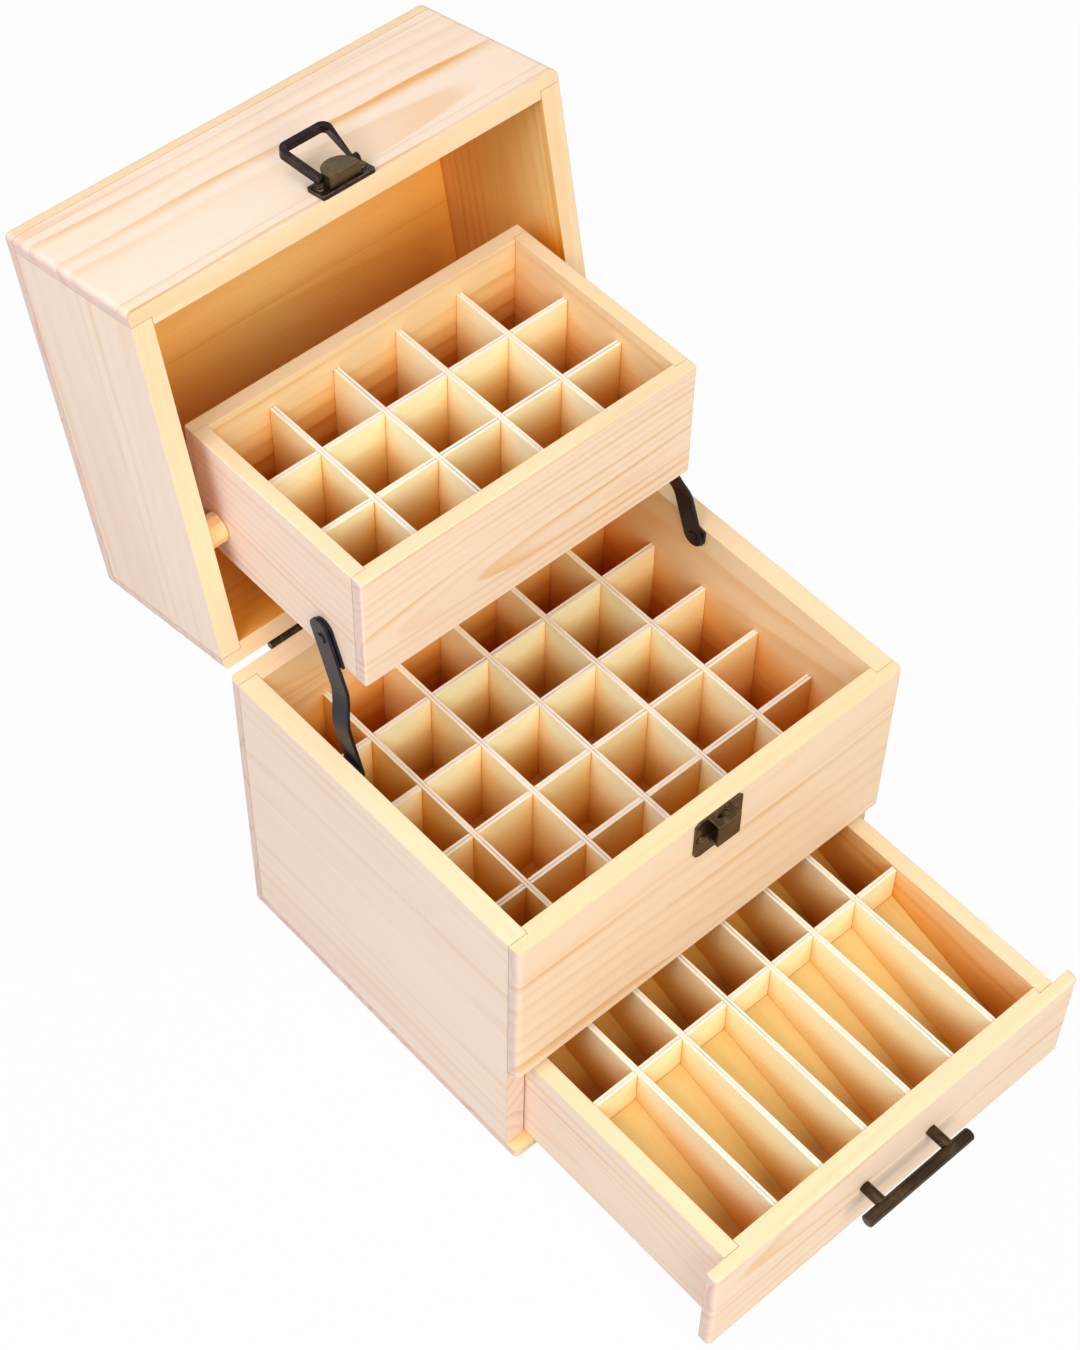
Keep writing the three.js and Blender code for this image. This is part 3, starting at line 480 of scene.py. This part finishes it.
def make_pine_group():
    """Solid pine glued up from strips, with growth rings, fibres and duller end grain."""
    group, tree, given = new_group("pine_boards", ("Seed", "Strip", "Figure", "Gold", "Open"), ("Inside",))
    coordinates = board_coordinates(tree, given)
    along, across, through = coordinates
    seed = given["Seed"]

    # Strips, each cut from another place in its tree
    offset = tree.times(seed, STRIP_SHIFT)
    strip_place = tree.math("DIVIDE", tree.plus(across, offset), given["Strip"])
    strip_key = tree.plus(tree.times(tree.math("FLOOR", strip_place), STRIP_KEY_STEP), seed)
    randoms = (tree.random(strip_key), tree.random(tree.plus(strip_key, SECOND_KEY_STEP)))
    in_strip = tree.times(tree.math("FRACT", strip_place), given["Strip"])

    # Growth rings, fainter in patches and on the board's edges
    late_share = ring_marks(tree, coordinates, given["Strip"], in_strip, strip_key, randoms)
    patch_place = tree.stretched(along, across, strip_key, PATCH_RATES)
    patch = tree.ramp(tree.noise(patch_place, detail=PATCH_DETAIL), *PATCH_SHARES)
    on_edge = facing(tree, given["Across"])
    calm = tree.minus(1.0, tree.times(on_edge, EDGE_CALM_SHARE))
    face_share = tree.times(tree.times(late_share, patch), tree.times(given["Figure"], calm))

    # Colour of the faces and edges
    blush_place = tree.stretched(along, across, seed, BLUSH_RATES)
    blush = tree.ramp(tree.noise(blush_place, detail=FINE_DETAIL), *BLUSH_SHARES)
    color = tree.mix(blush, srgb(PINE_EARLY), srgb(PINE_BLUSH))
    # Golden tint: partly the board's own tone, partly painted warm shade
    color = tree.mix(given["Gold"], color, srgb(PINE_GOLD))
    color = tree.mix(face_share, color, srgb(PINE_LATE))
    fibre = tree.noise(tree.stretched(along, across, through, FIBRE_RATES, FIBRE_RATES[1]))
    color = tree.mix(tree.ramp(fibre, *FIBRE_SHARES), color, srgb(PINE_FIBRE))
    tone = tree.plus(tree.times(randoms[0], TONE_SPREAD), TONE_LEAST)
    color = tree.mix(1.0, color, tree.grey(tone), "MULTIPLY")
    color = tree.mix(tree.times(on_edge, EDGE_COLOR_SHARE), color, srgb(PINE_EDGE), "MULTIPLY")

    # End grain and glue seams
    end_grit = tree.noise(tree.stretched(along, across, through, END_GRIT_RATES, END_GRIT_RATES[1]))
    end_marks = tree.times(late_share, tree.ramp(end_grit, *END_MARK_SHARES))
    end_color = tree.mix(end_marks, srgb(PINE_END), srgb(PINE_END_RING))
    color = tree.mix(tree.ramp(facing(tree, given["Along"]), *END_FACE_SHARES), color, end_color)
    to_seam = tree.math("MINIMUM", in_strip, tree.minus(given["Strip"], in_strip))
    seam = tree.ramp(to_seam, SEAM_WIDTH, 2 * SEAM_WIDTH, SEAM_COLOR_SHARE, 0.0)
    color = tree.mix(seam, color, srgb(PINE_SEAM), "MULTIPLY")

    # Roughness and relief
    gloss = tree.times(face_share, PINE_LATE_ROUGHNESS)
    roughness = tree.plus(tree.plus(tree.times(fibre, PINE_FIBRE_ROUGHNESS), gloss), PINE_ROUGHNESS)
    grain = tree.plus(tree.times(fibre, FIBRE_HEIGHT_SHARE), tree.times(face_share, LATE_HEIGHT_SHARE))
    height = tree.minus(grain, tree.times(seam, SEAM_DEPTH_SHARE))

    # Painted light and shade: faces towards the middle of their box are tinted yellower for the warm light
    # inside it, and turn orange with painted shade deep inside it
    painted_inside_share = facing_inward(tree, given["Core"])
    color = tree.mix(painted_inside_share, color, given["Inside"], "MULTIPLY")
    color = painted_cell_shade(tree, color, given["Open"], painted_inside_share)
    write_finish(tree, color, roughness, height)
    return group


def make_ply_group(name, face, late_color):
    """Three-ply divider stock: veneer faces with faint straight grain, and a darker core line."""
    group, tree, given = new_group(name, ("Seed", "Thickness", "Open"))
    along, across, through = board_coordinates(tree, given)
    seed = given["Seed"]
    grain_place = tree.stretched(along, across, seed, PLY_GRAIN_RATES)
    grain = tree.noise(grain_place, detail=FINE_DETAIL, roughness=FINE_ROUGHNESS)
    color = tree.mix(tree.ramp(grain, *PLY_GRAIN_SHARES), srgb(face), srgb(late_color))
    cloud = tree.noise(tree.stretched(along, across, seed, PLY_CLOUD_RATES))
    color = tree.mix(tree.ramp(cloud, *PLY_CLOUD_SHARES), color, srgb(PLY_CLOUD))

    # Core line, which wanders and fades along the edges
    core_place = tree.math("DIVIDE", tree.math("ABSOLUTE", through), given["Thickness"])
    wander_noise = tree.noise(tree.stretched(along, across, seed, CORE_WANDER_RATES))
    wander = tree.times(tree.minus(wander_noise, NOISE_MIDDLE), CORE_WANDER_SHARE)
    core = tree.ramp(tree.plus(core_place, wander), *CORE_SHARES)
    patch = tree.ramp(tree.noise(tree.stretched(along, across, seed, CORE_PATCH_RATES)), *CORE_PATCH_SHARES)
    on_edge = tree.ramp(facing(tree, given["Through"]), *PLY_EDGE_SHARES)
    core_share = tree.times(tree.times(core, patch), on_edge)
    color = tree.mix(tree.times(on_edge, PLY_EDGE_COLOR_SHARE), color, srgb(PLY_EDGE))
    color = tree.mix(core_share, color, srgb(PLY_CORE))

    roughness = tree.plus(tree.times(grain, PLY_GRAIN_ROUGHNESS), PLY_ROUGHNESS)
    # Painted shade: yellower, then darker orange, deeper in the cells
    color = painted_cell_shade(tree, color, given["Open"], 1.0)
    write_finish(tree, color, roughness, tree.minus(grain, core_share))
    return group


def new_material(name):
    material = bpy.data.materials.new(name)
    material.use_nodes = True
    return material, Tree(material.node_tree)


def soft_edge(tree, radius, samples):
    """The surface's direction, rounded over at its edges."""
    bevel = tree.add("ShaderNodeBevel", samples=samples)
    bevel.inputs["Radius"].default_value = radius
    return bevel.outputs["Normal"]


def feed_relief(tree, shader, height, normal, strength, distance):
    bump = tree.add("ShaderNodeBump")
    bump.inputs["Strength"].default_value = strength
    bump.inputs["Distance"].default_value = distance
    tree.feed(bump.inputs["Height"], height)
    tree.feed(bump.inputs["Normal"], normal)
    tree.feed(shader.inputs["Normal"], bump.outputs["Normal"])


def wood_material(node, group_tree, directions, bump_distance, **inputs):
    """A board's own material: the group set for its directions, with soft edges and fine relief."""
    material, tree = new_material(f"wood_{node}")
    group = tree.add("ShaderNodeGroup", node_tree=group_tree)
    low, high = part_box(node)
    middle = (Vector(low) + Vector(high)) / 2
    core = CORES[node.split("_")[0]]
    for name, vector in zip(("Along", "Across", "Through", "Middle", "Core"), (*directions, middle, core)):
        group.inputs[name].default_value = vector
    for name, value in inputs.items():
        group.inputs[name].default_value = value
    shader = material.node_tree.nodes["Principled BSDF"]
    shader.inputs["Specular IOR Level"].default_value = WOOD_SPECULAR
    tree.feed(shader.inputs["Base Color"], group.outputs["Color"])
    tree.feed(shader.inputs["Roughness"], group.outputs["Roughness"])
    normal = soft_edge(tree, WOOD_EDGE_RADIUS, WOOD_EDGE_SAMPLES)
    feed_relief(tree, shader, group.outputs["Height"], normal, WOOD_BUMP, bump_distance)
    return material


def metal_material(name):
    """Plated or painted metal with a mottled patina, and edges made bright: partly real wear, partly a
    painted highlight.
    """
    dark, worn, roughness, metallic, patina_rate, patina_share, edge_wear_and_highlight = METALS[name]
    material, tree = new_material(name)
    shader = material.node_tree.nodes["Principled BSDF"]
    shader.inputs["Metallic"].default_value = metallic
    place = tree.add("ShaderNodeTexCoord").outputs["Object"]
    patina = tree.noise(place, patina_rate, PATINA_DETAIL, FINE_ROUGHNESS)
    mottled = tree.ramp(patina, *PATINA_SPAN_SHARES, 0.0, patina_share)
    color = tree.mix(mottled, srgb(dark), srgb(worn))
    # Bright edges: partly rubbed wear, partly a painted highlight along the rounded edges
    rounded = soft_edge(tree, METAL_EDGE_RADIUS, METAL_EDGE_SAMPLES)
    normal = tree.add("ShaderNodeNewGeometry").outputs["Normal"]
    bend = tree.vector("DOT_PRODUCT", rounded, normal)
    edge = tree.times(tree.ramp(bend, *WEAR_AND_HIGHLIGHT_BEND_SHARES), edge_wear_and_highlight)
    rubbed_and_highlighted = tree.times(edge, tree.ramp(tree.noise(place, RUB_RATE), *RUB_SHARES))
    tree.feed(shader.inputs["Base Color"], tree.mix(rubbed_and_highlighted, color, srgb(worn)))
    rough = tree.plus(tree.times(patina, PATINA_ROUGHNESS), roughness + PATINA_ROUGHNESS_OFFSET)
    tree.feed(shader.inputs["Roughness"], rough)
    grit = tree.noise(place, METAL_GRIT_RATE)
    feed_relief(tree, shader, grit, rounded, METAL_BUMP, METAL_BUMP_DISTANCE)
    return material


def assign(node, material):
    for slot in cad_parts[node].material_slots:
        slot.material = material


def board_directions(words):
    """The ways a board's fibres, face and thickness run, from the words of its name."""
    standing = {"front": (X, Z, Y), "back": (X, Z, Y), "left": (Y, Z, X), "right": (Y, Z, X)}
    lid_standing = {
        "front": (X, LID_Z, LID_Y),
        "back": (X, LID_Z, LID_Y),
        "left": (LID_Y, LID_Z, X),
        "right": (LID_Y, LID_Z, X),
        "top": (X, LID_Y, LID_Z),
    }
    if words[0] == "lid":
        return lid_standing[words[1]]
    if words[-1] in ("panel", "wall"):
        return standing[words[1]]
    return (X, Y, Z)


def is_metal(node):
    return node in METAL_NODES or node.rsplit("_", 1)[0] in SIDED_METAL_NODES


def dress_boards():
    """Gives every wooden node its own material."""
    pine = make_pine_group()
    ply = make_ply_group("ply_boards", PLY_FACE, PLY_LATE)
    ramp_ply = make_ply_group("ramp_boards", RAMP_FACE, RAMP_LATE)
    for index, node in enumerate(sorted(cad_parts)):
        if is_metal(node):
            continue
        words = node.split("_")
        board = "_".join(words[:2])
        seed = SEEDS.get(board, FIRST_SEED + index * SEED_STEP)
        if "divider" in words:
            directions = (Y, Z, X) if "deep" in words else (X, Z, Y)
            inputs = {"Seed": seed, "Thickness": DIVIDER_THICKNESS, "Open": OPEN_IN_CELL}
            material = wood_material(node, ply, directions, PLY_BUMP_DISTANCE, **inputs)
        elif "ramp" in words:
            inputs = {"Seed": seed, "Thickness": DIVIDER_THICKNESS, "Open": OPEN_ON_RAMP}
            material = wood_material(node, ramp_ply, (Y, X, Z), PLY_BUMP_DISTANCE, **inputs)
        else:
            inputs = {
                "Seed": seed,
                "Strip": STRIP_WIDTH,
                "Figure": FIGURES.get(board, PLAIN_FIGURE),
                "Gold": GOLDS_AND_PAINTED_SHADE.get(board, PLAIN_GOLD),
                "Open": OPENS.get(words[0], OPEN_IN_BOX),
                "Inside": srgb(LID_INSIDE_PAINTED_LIGHT if words[0] == "lid" else PINE_INSIDE_PAINTED_LIGHT),
            }
            material = wood_material(node, pine, board_directions(words), PINE_BUMP_DISTANCE, **inputs)
        assign(node, material)


def dress_metal(metals):
    for node, name in METAL_NODES.items():
        assign(node, metals[name])
    for side_name in SIDES:
        for node, name in SIDED_METAL_NODES.items():
            assign(f"{node}_{side_name}", metals[name])


def lid_place(place):
    """Where a point of the closed lid is while the lid is open."""
    return LID_PIVOT + LID_TURN @ (place - LID_PIVOT)


def add_piece(name, mesh_maker, material, body):
    """Makes an object from a function that fills an empty bmesh, and puts it on a body."""
    mesh = bpy.data.meshes.new(name)
    maker = bmesh.new()
    mesh_maker(maker)
    bmesh.ops.recalc_face_normals(maker, faces=maker.faces)
    maker.to_mesh(mesh)
    maker.free()
    mesh.materials.append(material)
    piece = bpy.data.objects.new(name, mesh)
    bpy.context.scene.collection.objects.link(piece)
    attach(piece, body)


def thick_plate(maker, points, thickness_vector):
    """Fills a flat outline and pushes it out along a vector."""
    face = maker.faces.new([maker.verts.new(point) for point in points])
    pushed = bmesh.ops.extrude_face_region(maker, geom=[face])
    moved = [part for part in pushed["geom"] if isinstance(part, bmesh.types.BMVert)]
    bmesh.ops.translate(maker, verts=moved, vec=thickness_vector)


def shoe_outline():
    """A plate's outline in the side view: round above the rivet, and level with the tray's underside."""
    pivot = Vector((0, *ARM_TOP_PIVOT))
    up = Vector((0, math.sin(ARM_LEAN), math.cos(ARM_LEAN)))
    across = Vector((0, math.cos(ARM_LEAN), -math.sin(ARM_LEAN)))
    half_round = ROUND_STEPS // 2
    points = []
    for step in range(half_round + 1):
        angle = math.pi * step / half_round
        sweep = across * math.cos(angle) + up * math.sin(angle)
        points.append(pivot + up * SHOE_ABOVE_PIVOT + sweep * SHOE_HALF_WIDTH)
    for sign in (-1, 1):
        edge = pivot + across * sign * SHOE_HALF_WIDTH
        drop = (edge.z - TRAY_UNDERSIDE - GLUE_GAP) / up.z
        points.append(edge - up * drop)
    return points


def add_arm_shoes(metals):
    """The plates on the tray's sides that hold the arms' upper rivets."""
    for side_name, side in SIDES.items():
        inner = side * (TRAY_HALF_WIDTH + GLUE_GAP)
        placed = [Vector((inner, point.y, point.z)) for point in shoe_outline()]
        thickness = Vector((side * SHOE_THICKNESS, 0, 0))

        def make(maker, placed=placed, thickness=thickness):
            thick_plate(maker, placed, thickness)

        add_piece(f"arm_shoe_{side_name}", make, metals["black_steel"], "tray")


def cross_outline():
    """Angles and distances, as shares of a screw's radius, round a cross of two slots."""
    quarter = 2 * math.pi / CROSS_ARMS
    low = math.atan2(SCREW_SLOT_SHARE, SCREW_CROSS_SHARE)
    between = (low + quarter / 2) / 2
    angles = (0.0, low, between, quarter / 2, quarter - between, quarter - low)
    outline = []
    for turn in range(CROSS_ARMS):
        for angle in angles:
            sine = max(math.sin(angle), SMALLEST_SINE)
            near = min(SCREW_CROSS_SHARE / math.cos(angle), SCREW_SLOT_SHARE / sine)
            far = min(SCREW_SLOT_SHARE / math.cos(angle), SCREW_CROSS_SHARE / sine)
            outline.append((angle + turn * quarter, max(near, far)))
    return outline


def screw_rings(radius, height):
    """Rings of points from a screw head's seat over its dome and down into its cross."""
    outline = cross_outline()
    dome = (
        (radius, 0.0),
        (radius, height * SCREW_RIM_HEIGHT_SHARE),
        (radius * SCREW_DOME_RADIUS_SHARE, height * SCREW_DOME_HEIGHT_SHARE),
    )
    cross = (
        (radius, height),
        (radius * SCREW_CROSS_TAPER_SHARE, height * SCREW_CROSS_FLOOR_SHARE),
    )
    rings = []
    for reach, level in dome:
        rings.append([(reach * math.cos(angle), reach * math.sin(angle), level) for angle, _ in outline])
    for reach, level in cross:
        ring = []
        for angle, share in outline:
            ring.append((share * reach * math.cos(angle), share * reach * math.sin(angle), level))
        rings.append(ring)
    return rings


def add_screw(name, place, outwards, radius, height, turn, body, material):
    """A screw's domed head with a cross recess, on a surface that faces outwards."""
    facing_out = outwards.to_track_quat("Z", "Y").to_matrix().to_4x4()
    stand = Matrix.Translation(place) @ facing_out @ Matrix.Rotation(turn, 4, "Z")

    def make(maker):
        rings = screw_rings(radius, height)
        made = [[maker.verts.new(stand @ Vector(point)) for point in ring] for ring in rings]
        count = len(made[0])
        for lower, upper in zip(made, made[1:]):
            for index in range(count):
                following = (index + 1) % count
                maker.faces.new((lower[index], lower[following], upper[following], upper[index]))
        maker.faces.new(made[0])
        maker.faces.new(made[-1])

    add_piece(name, make, material, body)


def add_screws(metals):
    """Screws in the latch, the catch, the hinge leaves, the tray's pivots and behind the pull."""
    for side_name, side in SIDES.items():
        mirror = Matrix.Diagonal((side, 1, 1))
        for pattern, (outwards, radius, height, turn, body, metal) in SCREWS.items():
            place = mirror @ SCREW_PLACES[pattern]
            outwards = mirror @ outwards
            if pattern.startswith(CLOSED_LID_SCREWS):
                place = lid_place(place)
                outwards = LID_TURN @ outwards
            name = pattern.format(side_name)
            add_screw(name, place, outwards, radius, height, turn * side, body, metals[metal])


def point_at(thing, target):
    thing.rotation_euler = (target - thing.location).to_track_quat("-Z", "Y").to_euler()


def add_lights():
    for name, (place, size, power, color) in LIGHTS.items():
        data = bpy.data.lights.new(name, "AREA")
        data.shape = "SQUARE"
        data.size = size
        data.energy = power
        data.color = color
        light = bpy.data.objects.new(name, data)
        light.location = place
        point_at(light, LIGHT_TARGET)
        bpy.context.scene.collection.objects.link(light)


def seen_directly(tree):
    """1 where the camera, a glossy ray or a transmission ray looks."""
    path = tree.add("ShaderNodeLightPath").outputs
    seen = tree.math("MAXIMUM", path["Is Camera Ray"], path["Is Glossy Ray"])
    return tree.math("MAXIMUM", seen, path["Is Transmission Ray"])


def make_world():
    world = bpy.data.worlds.new("studio")
    world.use_nodes = True
    bpy.context.scene.world = world
    tree = Tree(world.node_tree)
    background = world.node_tree.nodes["Background"]
    seen = seen_directly(tree)
    tree.feed(background.inputs["Color"], tree.mix(seen, WORLD_FILL_COLOR, WORLD_SEEN_COLOR))
    tree.feed(background.inputs["Strength"], tree.ramp(seen, 0.0, 1.0, WORLD_FILL, WORLD_SEEN))


def make_floor():
    """A floor that takes the shadow in grey, and shows as nearly white itself."""
    mesh = bpy.data.meshes.new("floor")
    half = FLOOR_HALF
    corners = [(-half, -half, 0.0), (half, -half, 0.0), (half, half, 0.0), (-half, half, 0.0)]
    mesh.from_pydata(corners, [], [(0, 1, 2, 3)])
    floor = bpy.data.objects.new("floor", mesh)
    bpy.context.scene.collection.objects.link(floor)
    material, tree = new_material("floor")
    shader = material.node_tree.nodes["Principled BSDF"]
    shader.inputs["Base Color"].default_value = FLOOR_COLOR
    shader.inputs["Roughness"].default_value = FLOOR_ROUGHNESS
    shader.inputs["Specular IOR Level"].default_value = 0.0
    white = tree.add("ShaderNodeEmission")
    blend = tree.add("ShaderNodeMixShader")
    tree.feed(blend.inputs[0], tree.times(seen_directly(tree), FLOOR_WHITE_SHARE))
    tree.feed(blend.inputs[1], shader.outputs["BSDF"])
    tree.feed(blend.inputs[2], white.outputs["Emission"])
    tree.feed(material.node_tree.nodes["Material Output"].inputs["Surface"], blend.outputs[0])
    mesh.materials.append(material)


def make_camera():
    data = bpy.data.cameras.new("camera")
    data.sensor_fit = "VERTICAL"
    data.sensor_height = SENSOR_HEIGHT
    data.lens = LENS
    camera = bpy.data.objects.new("camera", data)
    up = CAMERA_RIGHT.cross(CAMERA_FORWARD)
    turn = Matrix((CAMERA_RIGHT, up, -CAMERA_FORWARD)).transposed()
    camera.matrix_world = Matrix.Translation(CAMERA_PLACE) @ turn.to_4x4()
    bpy.context.scene.collection.objects.link(camera)
    bpy.context.scene.camera = camera


make_camera()
make_world()
make_floor()
add_lights()
metals = {name: metal_material(name) for name in METALS}
dress_boards()
dress_metal(metals)
add_arm_shoes(metals)
add_screws(metals)

bpy.context.scene.view_settings.view_transform = "Standard"
